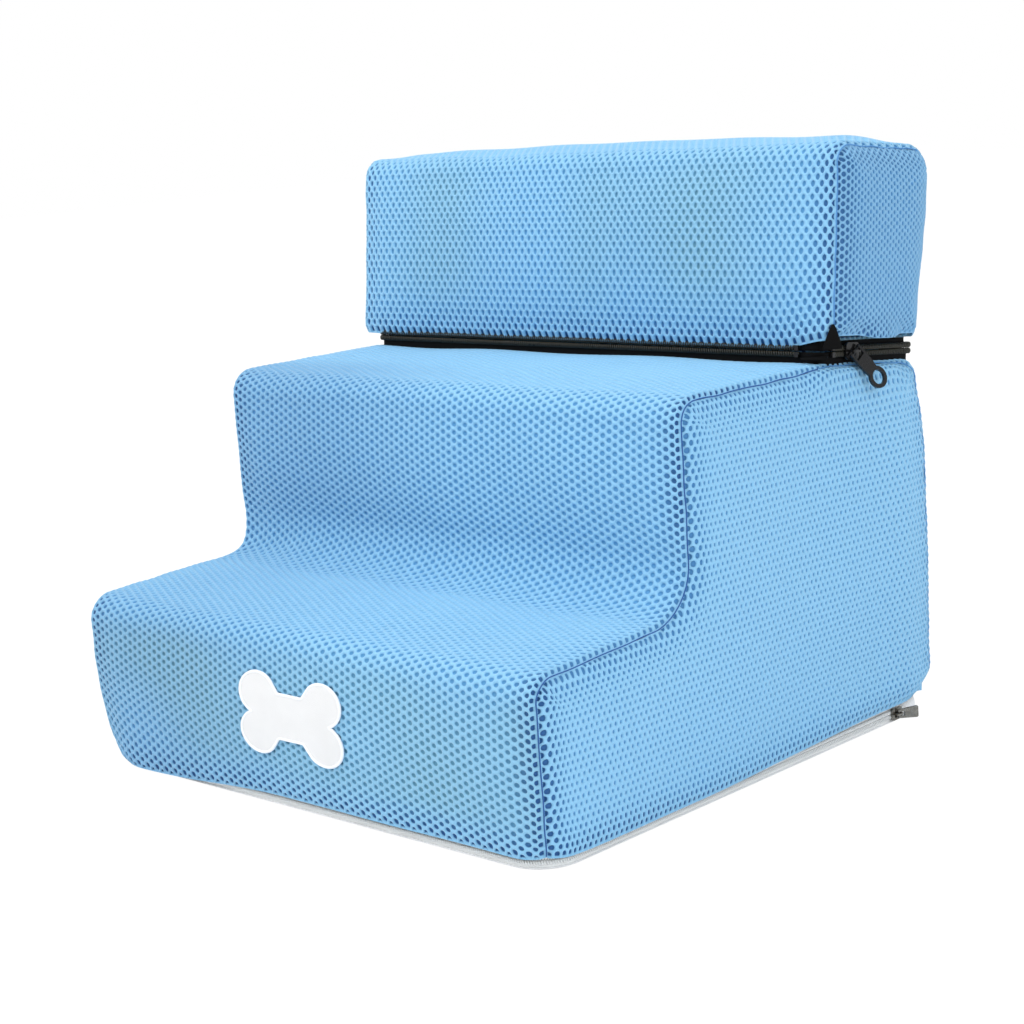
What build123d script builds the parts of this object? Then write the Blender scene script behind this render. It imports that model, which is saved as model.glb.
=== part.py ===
from build123d import *
import math
import os

# Foam pet stairs with a light mesh cover: a block with two steps and a top step that zips onto it.
# Millimetres. X runs across the steps, Y from the front to the back, Z up from the floor.
# The origin is on the floor, in the middle of the base.

# Steps
width = 326.0
rise_1 = 91.0
rise_2 = 107.0
tread_1 = 109.0
tread_1_slope_rise = 6.0
tread_2 = 111.0
top_depth = 79.0
top_height = 98.0
top_side_overhang = 8.0
lean_deg = 6.0

# Soft form: rounded seams and nosings, crowned faces and sides
nosing_radius = 14.0
inner_corner_radius = 26.0
seam_radius = 4.0
top_corner_radius = 11.0
top_heel_radius = 5.0
face_crown = 3.0
tread_crown = 1.5
side_crown = 2.5
stair_crown_reach = 36.0
top_crown_reach = 26.0
plan_corner_radius = 9.0

# Covers and foam
cover_thickness = 3.0
foam_gap = 0.2
seat_gap = 0.3
base_thickness = 1.2
base_edge_inset = 0.6

# Joining zipper, between the seat and the top step
join_band = 12.0
join_row_height = 2.6
join_coil_depth = 2.2
join_tape_thickness = 0.8
join_row_gap = 0.8
join_underside_inset = 10.0
join_slider_start = 25.0
join_row_end = 10.0
join_row_start = 14.0
join_stop_length = 2.4
join_slider = {
    "length": 11.0,
    "height": 8.6,
    "plate": 1.2,
    "clearance": 0.3,
    "post_length": 2.0,
    "post_thickness": 0.4,
    "flange": 1.1,
    "flange_gap": 0.4,
    "bridge_length": 5.8,
    "bridge_width": 1.2,
    "bridge_wall": 1.0,
    "bridge_opening": 2.4,
    "pivot_height": 1.3,
}
join_pull_bar_radius = 0.6
join_pull_thickness = 1.4
join_pull_width = 8.6
join_pull_neck = 6.4
join_pull_window_width = 6.0
join_pull_window_length = 4.4
join_pull_end_overhang = 0.8
join_pull_leg_length = 9.0
join_pull_ring_distance = 18.5
join_pull_ring_radius = 5.7
join_pull_hole_radius = 3.7
join_pull_droop_deg = 50.0
join_pull_rest_deg = 20.0

# Ends of the joining zipper's tapes, at the right front corner
tape_end_length = 13.0
tape_end_width = 6.0
tape_end_tip = 1.5
tape_end_thickness = 0.8
tape_end_rise = 10.0
tape_end_gap = 0.3

# Base zipper, round the left, front and right of the base
base_band = 7.5
base_row_height = 1.8
base_coil_depth = 1.6
base_tape_thickness = 0.8
base_row_gap = 0.6
base_zip_end = 18.0
base_slider_start = 26.0
base_relief = 5.0
base_relief_overrun = 1.0
base_stop_length = 2.0
base_slider = {
    "length": 8.6,
    "height": 6.4,
    "plate": 1.0,
    "clearance": 0.3,
    "post_length": 1.6,
    "post_thickness": 0.3,
    "flange": 0.8,
    "flange_gap": 0.3,
    "bridge_length": 4.6,
    "bridge_width": 1.0,
    "bridge_wall": 0.8,
    "bridge_opening": 1.9,
    "pivot_height": 1.0,
}
base_pull_bar_radius = 0.45
base_pull_thickness = 1.0
base_pull_near_width = 4.6
base_pull_far_width = 6.4
base_pull_window_width = 2.4
base_pull_window_length = 3.2
base_pull_end_overhang = 0.6
base_pull_length = 11.0
base_pull_corner_radius = 0.8
base_pull_rest_deg = 30.0

# Patch on the front
patch_x = 0.5
patch_z = 49.5
patch_lobe_x = 24.0
patch_lobe_z = 9.9
patch_lobe_half_width = 14.2
patch_lobe_half_height = 11.3
patch_waist = 24.0
patch_thickness = 1.2
patch_edging_width = 1.8
patch_edging_thickness = 1.8

# One overrun serves all cuts
overrun = 5.0

lean = math.radians(lean_deg)
seat_run = top_depth * math.cos(lean)
depth = tread_1 + tread_2 + seat_run
front_y = -depth / 2
riser_2_y = front_y + tread_1
seat_y = riser_2_y + tread_2
back_y = depth / 2
seat_z = rise_1 + rise_2
half_width = width / 2
top_half_width = half_width + top_side_overhang
band_top = base_thickness + base_band

# The seat is the plane under the top step. It falls towards the back by the lean.
seat = Plane(origin=(0, seat_y, seat_z), x_dir=(1, 0, 0), z_dir=(0, math.sin(lean), math.cos(lean)))

end_steps = 3
crown_shares = (0.0, 0.6, 0.9, 1.0)
reach_shares = (0.0, 0.25, 0.6, 1.0)
body_shares = (-1.0, -0.5, 0.0, 0.5, 1.0)


def flat(point):
    """The two coordinates of a point in a plane."""
    return point.X, point.Y


def arc_between(start, end, bulge):
    """An arc from start to end that stands out to the left of that direction by bulge."""
    chord = Vector(*end) - Vector(*start)
    middle = (Vector(*start) + Vector(*end)) / 2
    left = Vector(-chord.Y, chord.X).normalized()
    if bulge == 0:
        return Line(start, end)
    return ThreePointArc(start, flat(middle + left * bulge), end)


def corner_arc(before, corner, after, radius):
    """The quarter-like arc that rounds a corner, with its two ends."""
    a = (Vector(*before) - Vector(*corner)).normalized()
    b = (Vector(*after) - Vector(*corner)).normalized()
    half = math.radians(a.get_angle(b)) / 2
    reach = radius / math.tan(half)
    start = Vector(*corner) + a * reach
    end = Vector(*corner) + b * reach
    centre = Vector(*corner) + (a + b).normalized() * (radius / math.sin(half))
    towards = (Vector(*corner) - centre).normalized()
    middle = centre + towards * radius
    return flat(start), flat(middle), flat(end)


def rounded_outline(corners, radii, bulges):
    """A closed face with one rounded corner per point and one bulged side after each point."""
    count = len(corners)
    arcs = []
    for i in range(count):
        arcs.append(corner_arc(corners[i - 1], corners[i], corners[(i + 1) % count], radii[i]))
    edges = []
    for i in range(count):
        start, middle, end = arcs[i]
        edges.append(ThreePointArc(start, middle, end))
        edges.append(arc_between(end, arcs[(i + 1) % count][0], bulges[i]))
    return make_face(edges)


def stair_section(x, inset, crown):
    """Section of the stepped block at x, drawn in by inset, its faces crowned by a share."""
    y0 = front_y + inset
    y1 = riser_2_y + inset
    y3 = back_y - inset
    z1 = rise_1 - inset
    z2 = seat_z - inset / math.cos(lean)
    seat_drop = (y3 - seat_y) * math.tan(lean)
    nosing = max(nosing_radius - inset, seam_radius)
    inner = inner_corner_radius + inset
    low = min(inset, base_thickness)
    z1_inner = z1 + tread_1_slope_rise
    corners = [(y0, low), (y0, z1), (y1, z1_inner), (y1, z2), (seat_y, z2), (y3, z2 - seat_drop), (y3, low)]
    radii = [seam_radius, nosing, inner, nosing, overrun, seam_radius, seam_radius]
    bulges = [face_crown, tread_crown, face_crown, tread_crown, 0, face_crown, 0]
    return Plane.YZ.offset(x) * rounded_outline(corners, radii, [b * crown for b in bulges])


def top_section(x, inset, crown):
    """Section of the top step at x, on the seat's own axes, drawn in by inset."""
    y0 = inset
    y1 = top_depth - inset
    z0 = join_band
    z1 = join_band + top_height - inset
    upper = max(top_corner_radius - inset, seam_radius)
    corners = [(y0, z0), (y0, z1), (y1, z1), (y1, z0)]
    radii = [top_heel_radius, upper, upper, top_heel_radius]
    bulges = [face_crown, face_crown, face_crown, 0]
    return Plane.YZ.offset(x) * rounded_outline(corners, radii, [b * crown for b in bulges])


def soft_block(section, inset, crown_reach, outer_half=half_width):
    """A soft block: crowned between its side seams, rounded over them, with swollen sides."""
    half = outer_half - inset
    shoulder = half - seam_radius
    middle = [section(share * shoulder, inset, 1 - share**2) for share in body_shares]
    block = loft(middle)
    for side in (-1, 1):
        rounding = []
        for step in range(end_steps + 1):
            angle = math.pi / 2 * step / end_steps
            x = side * (shoulder + seam_radius * math.sin(angle))
            rounding.append(section(x, inset + seam_radius * (1 - math.cos(angle)), 0))
        swell = []
        for share, reach in zip(crown_shares, reach_shares):
            x = side * (half + side_crown * share)
            swell.append(section(x, inset + seam_radius + crown_reach * reach, 0))
        block += loft(rounding, ruled=True)
        block += loft(swell, ruled=True)
    return block


def slab_of(x_size, y_range, z_range, x_centre=0.0):
    """A box from its width, and its start and end along Y and Z."""
    box = Box(x_size, y_range[1] - y_range[0], z_range[1] - z_range[0])
    middle_y = (y_range[0] + y_range[1]) / 2
    middle_z = (z_range[0] + z_range[1]) / 2
    return Pos(x_centre, middle_y, middle_z) * box


def ring_layer(y_range, inset_range, z_range):
    """An upright band round a rounded rectangle, between two insets and two heights."""
    height = z_range[1] - z_range[0]
    faces = []
    for inset in inset_range:
        length = y_range[1] - y_range[0] - 2 * inset
        radius = max(plan_corner_radius - inset, seam_radius)
        faces.append(RectangleRounded(width - 2 * inset, length, radius))
    face = faces[0] - faces[1]
    return Pos(0, (y_range[0] + y_range[1]) / 2, z_range[0]) * extrude(face, height)


def plan_prism(y_range, inset, z_range, outer_half=half_width):
    """A rounded-rectangle prism, drawn in by inset."""
    length = y_range[1] - y_range[0] - 2 * inset
    radius = max(plan_corner_radius - inset, seam_radius)
    face = RectangleRounded(2 * (outer_half - inset), length, radius)
    return Pos(0, (y_range[0] + y_range[1]) / 2, z_range[0]) * extrude(face, z_range[1] - z_range[0])


plan_range = (front_y, back_y)
tall = seat_z + top_height
reach_x = 2 * (top_half_width + side_crown + overrun)


# Stepped block: foam, then the cover's panels
stair_outer = soft_block(stair_section, 0.0, stair_crown_reach)
stair_inner = soft_block(stair_section, cover_thickness, stair_crown_reach)
stair_foam = soft_block(stair_section, cover_thickness + foam_gap, stair_crown_reach)

foam_joint_z = rise_1 + tread_1_slope_rise - cover_thickness - foam_gap
relief = ring_layer(plan_range, (-overrun, base_relief), (-overrun, band_top + base_relief_overrun))
foam_floor = base_thickness
lower_foam_slab = stair_foam & slab_of(
    reach_x, (front_y - overrun, back_y + overrun), (foam_floor, foam_joint_z)
)
lower_foam_slab -= relief
middle_foam_front = riser_2_y + cover_thickness + foam_gap
middle_foam_slab = stair_foam & slab_of(reach_x, (middle_foam_front, back_y + overrun), (foam_joint_z, tall))

stair_shell = (stair_outer - stair_inner) & slab_of(
    reach_x, (front_y - overrun, back_y + overrun), (band_top, tall)
)
side_start = half_width - cover_thickness
inside_sides = slab_of(2 * side_start, (front_y - overrun, back_y + overrun), (0, tall))
stair_sides = stair_shell - inside_sides
stair_strip = stair_shell & inside_sides
right_half = slab_of(
    half_width + overrun, (front_y - overrun, back_y + overrun), (0, tall), (half_width + overrun) / 2
)
stair_cover_right_side = stair_sides & right_half
stair_cover_left_side = stair_sides - right_half
back_zone = slab_of(reach_x, (back_y - cover_thickness, back_y + overrun), (0, tall))
stair_cover_back = stair_strip & back_zone
stair_cover_wrap = stair_strip - back_zone

# Base panel: turned up as a rim where the zipper does not run
zip_end_y = back_y - base_zip_end
behind_zip = slab_of(reach_x, (zip_end_y, back_y + overrun), (0, band_top))
base_panel = plan_prism(plan_range, base_edge_inset, (0, base_thickness))
base_tape_inset = (base_coil_depth, base_coil_depth + base_tape_thickness)
base_panel += ring_layer(plan_range, base_tape_inset, (0, band_top)) & behind_zip

# Base zipper
base_middle_z = base_thickness + base_band / 2
base_half_gap = base_row_gap / 2


def base_band_piece(insets, z_range):
    return ring_layer(plan_range, insets, z_range) - behind_zip


base_zip_lower_tape = base_band_piece(base_tape_inset, (base_thickness, base_middle_z - base_half_gap))
base_zip_upper_tape = base_band_piece(base_tape_inset, (base_middle_z + base_half_gap, band_top))
row_low = (base_middle_z - base_half_gap - base_row_height, base_middle_z - base_half_gap)
row_high = (base_middle_z + base_half_gap, base_middle_z + base_half_gap + base_row_height)
base_stop_zone = slab_of(reach_x, (zip_end_y - base_stop_length, back_y + overrun), (0, band_top))
base_zip_lower_coil = base_band_piece((0, base_coil_depth), row_low) - base_stop_zone
base_zip_upper_coil = base_band_piece((0, base_coil_depth), row_high) - base_stop_zone
stop_band = base_band_piece((0, base_coil_depth), (row_low[0], row_low[1]))
stop_band += base_band_piece((0, base_coil_depth), (row_high[0], row_high[1]))
base_zip_stops = stop_band & base_stop_zone


def slider_body(sizes, coil_depth, tape_thickness):
    """Slider on a band that faces +X. Its chain runs along Y and the coil's face is at x 0."""
    outer_face = sizes["clearance"] + sizes["plate"]
    inner_face = -coil_depth - tape_thickness - sizes["clearance"]
    outer = Pos(sizes["clearance"] + sizes["plate"] / 2, 0, 0) * Box(
        sizes["plate"], sizes["length"], sizes["height"]
    )
    inner = Pos(inner_face - sizes["plate"] / 2, 0, 0) * Box(
        sizes["plate"], sizes["length"], sizes["height"]
    )
    plates = []
    for plate in (outer, inner):
        edges = plate.edges().filter_by(Axis.X)
        plates.append(fillet(edges, sizes["height"] / 4))
    post_y = -sizes["length"] / 2 + sizes["post_length"]
    post_depth = sizes["clearance"] * 2 + coil_depth + tape_thickness + sizes["plate"]
    post_x = (sizes["clearance"] + inner_face) / 2
    post = Pos(post_x, post_y, 0) * Box(post_depth, sizes["post_length"], sizes["post_thickness"])
    flange_z = -sizes["height"] / 2 + sizes["flange"] / 2
    flange_depth = sizes["clearance"] + coil_depth - sizes["flange_gap"]
    flange_x = sizes["clearance"] - flange_depth / 2
    flange = Pos(flange_x, 0, flange_z) * Box(
        flange_depth + sizes["flange_gap"], sizes["length"] / 2, sizes["flange"]
    )
    rise = sizes["bridge_opening"] + sizes["bridge_wall"]
    bridge = Pos(outer_face + rise / 2, 0, 0) * Box(rise, sizes["bridge_length"], sizes["bridge_width"])
    far = bridge.edges().filter_by(Axis.Z).group_by(Axis.X)[-1]
    bridge = fillet(far, sizes["bridge_wall"])
    opening_length = sizes["bridge_length"] - 2 * sizes["bridge_wall"]
    opening = Pos(outer_face + sizes["bridge_opening"] / 2, 0, 0) * Box(
        sizes["bridge_opening"], opening_length, sizes["bridge_width"] * 2
    )
    return plates[0] + plates[1] + post + flange + (bridge - opening)


def on_side(shape, y, z):
    """Places a piece made about the coil's face onto the right side of the base."""
    return Pos(half_width, y, z) * shape


# Base zipper's slider and pull, at the back of the right side
base_slider_y = back_y - base_slider_start
base_zip_slider = on_side(
    slider_body(base_slider, base_coil_depth, base_tape_thickness),
    base_slider_y,
    base_middle_z,
)


def flared_pull():
    """Pull in the XY plane: its bar runs along Y at the origin, its length along X."""
    near = base_pull_near_width / 2
    far = base_pull_far_width / 2
    start = -base_pull_end_overhang
    outline = Polyline(
        (start, -near), (base_pull_length, -far), (base_pull_length, far), (start, near), close=True
    )
    plate = extrude(make_face(outline), base_pull_thickness / 2, both=True)
    corners = plate.edges().filter_by(Axis.Z).group_by(Axis.X)[-1]
    plate = fillet(corners, base_pull_corner_radius)
    window = Pos((base_pull_window_length + start) / 2, 0, 0) * Box(
        base_pull_window_length - start, base_pull_window_width, base_pull_thickness * 2
    )
    bar = Rot(90, 0, 0) * Cylinder(base_pull_bar_radius, (base_pull_near_width + base_pull_window_width) / 2)
    return (plate - window) + bar


def ring_pull():
    """Pull in the XY plane: its bar runs along Y at the origin, its length along X."""
    near = join_pull_width / 2
    neck = join_pull_neck / 2
    start = -join_pull_end_overhang
    outline = Polyline(
        (start, -near),
        (join_pull_leg_length, -near),
        (join_pull_ring_distance, -neck),
        (join_pull_ring_distance, neck),
        (join_pull_leg_length, near),
        (start, near),
        close=True,
    )
    face = make_face(outline) + Pos(join_pull_ring_distance, 0) * Circle(join_pull_ring_radius)
    face -= Pos(join_pull_ring_distance, 0) * Circle(join_pull_hole_radius)
    plate = extrude(face, join_pull_thickness / 2, both=True)
    window = Pos((join_pull_window_length + start) / 2, 0, 0) * Box(
        join_pull_window_length - start, join_pull_window_width, join_pull_thickness * 2
    )
    bar = Rot(90, 0, 0) * Cylinder(join_pull_bar_radius, (join_pull_width + join_pull_window_width) / 2)
    return (plate - window) + bar


base_pivot_x = base_slider["clearance"] + base_slider["plate"] + base_slider["pivot_height"]
base_rest = math.radians(base_pull_rest_deg)
base_pull_plane = Plane(
    origin=(half_width + base_pivot_x, base_slider_y, base_middle_z),
    x_dir=(math.sin(base_rest), math.cos(base_rest), 0),
    z_dir=(math.cos(base_rest), -math.sin(base_rest), 0),
)
base_zip_pull = base_pull_plane.location * flared_pull()

# Top step, made on the seat's axes and then laid on the seat
top_range = (0.0, top_depth)
top_outer = soft_block(top_section, 0.0, top_crown_reach, top_half_width)


def underside(inset, z_start, z_end):
    half = half_width - top_side_overhang
    return plan_prism(top_range, join_underside_inset + inset, (z_start, z_end), half)


top_full = top_outer + underside(0.0, seat_gap, join_band + cover_thickness)


def top_inner_block(skin):
    """What the cover of the top step encloses, with skin as the cover's thickness."""
    block = soft_block(top_section, skin, top_crown_reach, top_half_width)
    block &= slab_of(reach_x, (-overrun, top_depth + overrun), (join_band + skin, tall))
    return block + underside(skin, seat_gap + skin, join_band + 2 * cover_thickness)


top_shell = top_full - top_inner_block(cover_thickness)
top_foam_block = top_inner_block(cover_thickness + foam_gap)
bottom_zone = plan_prism(top_range, cover_thickness, (0, join_band + cover_thickness), top_half_width)
top_cover_bottom = top_shell & bottom_zone
top_rest = top_shell - bottom_zone
top_side_start = top_half_width - cover_thickness
top_inside_sides = slab_of(2 * top_side_start, (-overrun, top_depth + overrun), (0, tall))
top_right_half = slab_of(
    top_half_width + overrun,
    (-overrun, top_depth + overrun),
    (0, tall),
    (top_half_width + overrun) / 2,
)
top_sides = top_rest - top_inside_sides
top_cover_wrap = top_rest & top_inside_sides
top_cover_right_side = top_sides & top_right_half
top_cover_left_side = top_sides - top_right_half

# Joining zipper, on the seat's axes
join_middle = join_band / 2
join_half_gap = join_row_gap / 2
join_tape_inset = (join_coil_depth, join_coil_depth + join_tape_thickness)


def join_ring(insets, z_range):
    return ring_layer(top_range, insets, z_range)


lower_tape_ring = join_ring(join_tape_inset, (-seam_radius, join_middle - join_half_gap))
upper_tape_ring = join_ring(join_tape_inset, (join_middle + join_half_gap, join_band))
lower_row = (join_middle - join_half_gap - join_row_height, join_middle - join_half_gap)
upper_row = (join_middle + join_half_gap, join_middle + join_half_gap + join_row_height)
corner_x = half_width - join_row_start
row_break = Pos((half_width + overrun + corner_x) / 2, join_row_end / 2 - overrun / 2, join_middle) * Box(
    half_width + overrun - corner_x, join_row_end + overrun, join_band
)
stop_reach = Pos(
    (half_width + overrun + corner_x - join_stop_length) / 2,
    (join_row_end + join_stop_length) / 2 - overrun / 2,
    join_middle,
) * Box(
    half_width + overrun - corner_x + join_stop_length, join_row_end + join_stop_length + overrun, join_band
)
coil_insets = (0, join_coil_depth)


def join_row(z_range):
    """One coil row with its two stops, on either side of the break at the right front corner."""
    ring = join_ring(coil_insets, z_range) - row_break
    return ring - stop_reach, ring & stop_reach


lower_coil, lower_stops = join_row(lower_row)
upper_coil, upper_stops = join_row(upper_row)


def tape_end_leaf():
    """A tapered end of tape, flat, its root at the origin and its tip along X."""
    half = tape_end_width / 2
    outline = Polyline(
        (0, -half),
        (0, half),
        (tape_end_length, tape_end_tip / 2),
        (tape_end_length, -tape_end_tip / 2),
        close=True,
    )
    return extrude(make_face(outline), tape_end_thickness)


lower_end_plane = Plane(
    origin=(half_width - seam_radius + tape_end_gap, seat_y - tape_end_width / 2 - tape_end_gap, seat_z),
    x_dir=(-1, -math.sin(lean), 0),
    z_dir=(0, 0, 1),
)
lower_tape_end = lower_end_plane.location * tape_end_leaf() - stair_outer
corner_lift = tape_end_gap * 2
upper_end_plane = Plane(
    origin=(top_half_width - seam_radius / 2, -corner_lift + seam_radius / 2, join_band - tape_end_gap),
    x_dir=(0, 0, 1),
    z_dir=(1, -1, 0),
)
upper_leaf = upper_end_plane.location * tape_end_leaf()
upper_leaf &= plan_prism((-overrun, top_depth), -overrun, (0, join_band + tape_end_rise), top_half_width)
upper_tape_end = upper_leaf - top_full

join_zip_lower_tape = seat.location * lower_tape_ring - stair_outer
join_zip_slider_body = slider_body(join_slider, join_coil_depth, join_tape_thickness)
slider_place = Pos(half_width, join_slider_start, join_middle)
join_pivot_x = join_slider["clearance"] + join_slider["plate"] + join_slider["pivot_height"]
droop = math.radians(join_pull_droop_deg)
rest = math.radians(join_pull_rest_deg)
length_dir = Vector(
    math.sin(rest), math.cos(rest) * math.cos(droop), -math.cos(rest) * math.sin(droop)
)
bar_dir = Vector(0, math.sin(droop), math.cos(droop))
join_pull_plane = Plane(
    origin=(half_width + join_pivot_x, join_slider_start, join_middle),
    x_dir=length_dir,
    z_dir=length_dir.cross(bar_dir),
)

# Patch on the front, laid on the crowned face
patch_plane = Plane(origin=(patch_x, front_y, patch_z), x_dir=(1, 0, 0), z_dir=(0, -1, 0))


def bone_face(inset):
    """A bone outline drawn in by inset: a waist with two lobes at each end."""
    face = Rectangle(2 * patch_lobe_x, patch_waist - 2 * inset)
    for side in (-1, 1):
        for up in (-1, 1):
            lobe = Ellipse(patch_lobe_half_width - inset, patch_lobe_half_height - inset)
            face += Pos(side * patch_lobe_x, up * patch_lobe_z) * lobe
    return face


def laid_on_front(face, thickness):
    prism = extrude(patch_plane * face, face_crown + overrun, both=True)
    layer = Pos(0, -thickness, 0) * stair_outer - stair_outer
    return prism & layer


bone_core = bone_face(patch_edging_width)
bone_patch = laid_on_front(bone_core, patch_thickness)
bone_patch_edging = laid_on_front(bone_face(0) - bone_core, patch_edging_thickness)

nodes = {
    "lower_foam_slab": lower_foam_slab,
    "middle_foam_slab": middle_foam_slab,
    "stair_cover_wrap": stair_cover_wrap,
    "stair_cover_left_side": stair_cover_left_side,
    "stair_cover_right_side": stair_cover_right_side,
    "stair_cover_back": stair_cover_back,
    "base_panel": base_panel,
    "base_zip_upper_tape": base_zip_upper_tape,
    "base_zip_lower_tape": base_zip_lower_tape,
    "base_zip_upper_coil": base_zip_upper_coil,
    "base_zip_lower_coil": base_zip_lower_coil,
    "base_zip_stops": base_zip_stops,
    "base_zip_slider": base_zip_slider,
    "base_zip_pull": base_zip_pull,
    "bone_patch": bone_patch,
    "bone_patch_edging": bone_patch_edging,
    "join_zip_lower_tape": join_zip_lower_tape + lower_tape_end,
    "join_zip_lower_coil": seat.location * lower_coil,
    "join_zip_lower_stops": seat.location * lower_stops,
    "join_zip_upper_tape": seat.location * (upper_tape_ring + upper_tape_end),
    "join_zip_upper_coil": seat.location * upper_coil,
    "join_zip_upper_stops": seat.location * upper_stops,
    "join_zip_slider": seat.location * slider_place * join_zip_slider_body,
    "join_zip_pull": seat.location * join_pull_plane.location * ring_pull(),
    "top_foam_block": seat.location * top_foam_block,
    "top_cover_wrap": seat.location * top_cover_wrap,
    "top_cover_left_side": seat.location * top_cover_left_side,
    "top_cover_right_side": seat.location * top_cover_right_side,
    "top_cover_bottom": seat.location * top_cover_bottom,
}

os.makedirs("parts", exist_ok=True)
for name, shape in nodes.items():
    export_step(shape, f"parts/{name}.step")
    box = shape.bounding_box()
    print(name, len(shape.solids()), "solids", round(shape.volume), "mm3", box.min, box.max)
pivot = seat.location * join_pull_plane.location
print("join pull pivot", pivot.position, "base pull pivot", base_pull_plane.origin)
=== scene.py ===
import math

import bpy
import numpy as np
from mathutils import Matrix, Vector


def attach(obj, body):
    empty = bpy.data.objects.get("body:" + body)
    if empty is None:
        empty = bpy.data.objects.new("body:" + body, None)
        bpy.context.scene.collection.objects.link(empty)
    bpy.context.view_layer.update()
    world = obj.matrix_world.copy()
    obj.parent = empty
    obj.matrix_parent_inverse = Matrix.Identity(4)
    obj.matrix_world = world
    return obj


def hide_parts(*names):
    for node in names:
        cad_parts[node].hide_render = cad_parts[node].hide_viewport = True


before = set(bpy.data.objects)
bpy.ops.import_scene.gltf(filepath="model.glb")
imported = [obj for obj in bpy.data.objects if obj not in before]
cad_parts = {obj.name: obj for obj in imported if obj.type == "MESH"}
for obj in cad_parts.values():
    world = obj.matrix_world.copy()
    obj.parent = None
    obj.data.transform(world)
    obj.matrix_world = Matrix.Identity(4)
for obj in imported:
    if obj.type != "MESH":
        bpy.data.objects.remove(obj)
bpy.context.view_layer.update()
scene = bpy.context.scene

# Sizes of the model, in metres
width = 0.326
rise_1 = 0.091
rise_2 = 0.107
tread_1 = 0.109
tread_1_slope_rise = 0.006
tread_2 = 0.111
top_depth = 0.079
top_height = 0.098
top_side_overhang = 0.008
lean = math.radians(6.0)
nosing_radius = 0.014
inner_corner_radius = 0.026
top_corner_radius = 0.011
face_crown = 0.003
tread_crown = 0.0015
side_crown = 0.0032
top_side_crown = 0.0045
stair_crown_reach = 0.036
top_crown_reach = 0.026
plan_corner_radius = 0.009
base_thickness = 0.0012
base_band = 0.0075
join_band = 0.012

half_width = width / 2
top_half_width = half_width + top_side_overhang
seat_run = top_depth * math.cos(lean)
depth = tread_1 + tread_2 + seat_run
front_y = -depth / 2
riser_2_y = front_y + tread_1
seat_y = riser_2_y + tread_2
back_y = depth / 2
seat_z = rise_1 + rise_2
hem = 0.0064

seat_origin = np.array([0.0, seat_y, seat_z])
seat_back = np.array([0.0, math.cos(lean), -math.sin(lean)])
seat_up = np.array([0.0, math.sin(lean), math.cos(lean)])


def on_floor(x, y, z):
    """Points of the stepped block, from its own x, y, z."""
    return np.stack([x, y, z], -1)


def on_seat(x, v, u):
    """Points of the top step, from x, the depth v along the seat and the height u above it."""
    x, v, u = np.broadcast_arrays(x, v, u)
    across = np.stack([x, np.zeros_like(x), np.zeros_like(x)], -1)
    return seat_origin + across + v[..., None] * seat_back + u[..., None] * seat_up


def smooth(t):
    """Eases from 0 to 1 as t goes from 0 to 1."""
    t = np.clip(t, 0, 1)
    return t * t * (3 - 2 * t)


def turned_in(height, reach):
    """A quarter round: 1 at height 0, none from the reach upwards."""
    return 1 - np.sqrt(1 - (1 - np.clip(height / reach, 0, 1)) ** 2)


def waves(seed, u, v, length, amount):
    """A smooth repeatable unevenness made of a few sine waves of about the given length."""
    rng = np.random.default_rng(seed)
    total = 0.0
    for _ in range(7):
        angle = rng.uniform(0, math.tau)
        pitch = length * rng.uniform(0.7, 1.5)
        phase = rng.uniform(0, math.tau)
        total = total + np.sin((u * math.cos(angle) + v * math.sin(angle)) * math.tau / pitch + phase)
    return amount * total / 3.0


def path_lengths(points):
    """The length along a line of points, at each of them."""
    gaps = np.linalg.norm(np.diff(points, axis=0), axis=1)
    return np.concatenate([[0], np.cumsum(gaps)])


def read_line(s, lengths, points, normals):
    """Position and unit normal at path length s, as four arrays."""
    a, b, na, nb = (np.interp(s, lengths, column) for column in (*points.T, *normals.T))
    size = np.hypot(na, nb)
    return a, b, na / size, nb / size


def nearest_on(points, start, end, block=8000):
    """For each point, the number of the nearest segment, the share of the way along it, and the distance."""
    run = end - start
    size = np.maximum((run**2).sum(1), 1e-18)
    best, share, near = np.empty(len(points), int), np.empty(len(points)), np.empty(len(points))
    for k in range(0, len(points), block):
        p = points[k : k + block, None]
        t = np.clip(((p - start) * run).sum(-1) / size, 0, 1)
        far = ((p - (start + run * t[..., None])) ** 2).sum(-1)
        found = far.argmin(1)
        rows = np.arange(len(p))
        best[k : k + block], share[k : k + block] = found, t[rows, found]
        near[k : k + block] = np.sqrt(far[rows, found])
    return best, share, near


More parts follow.
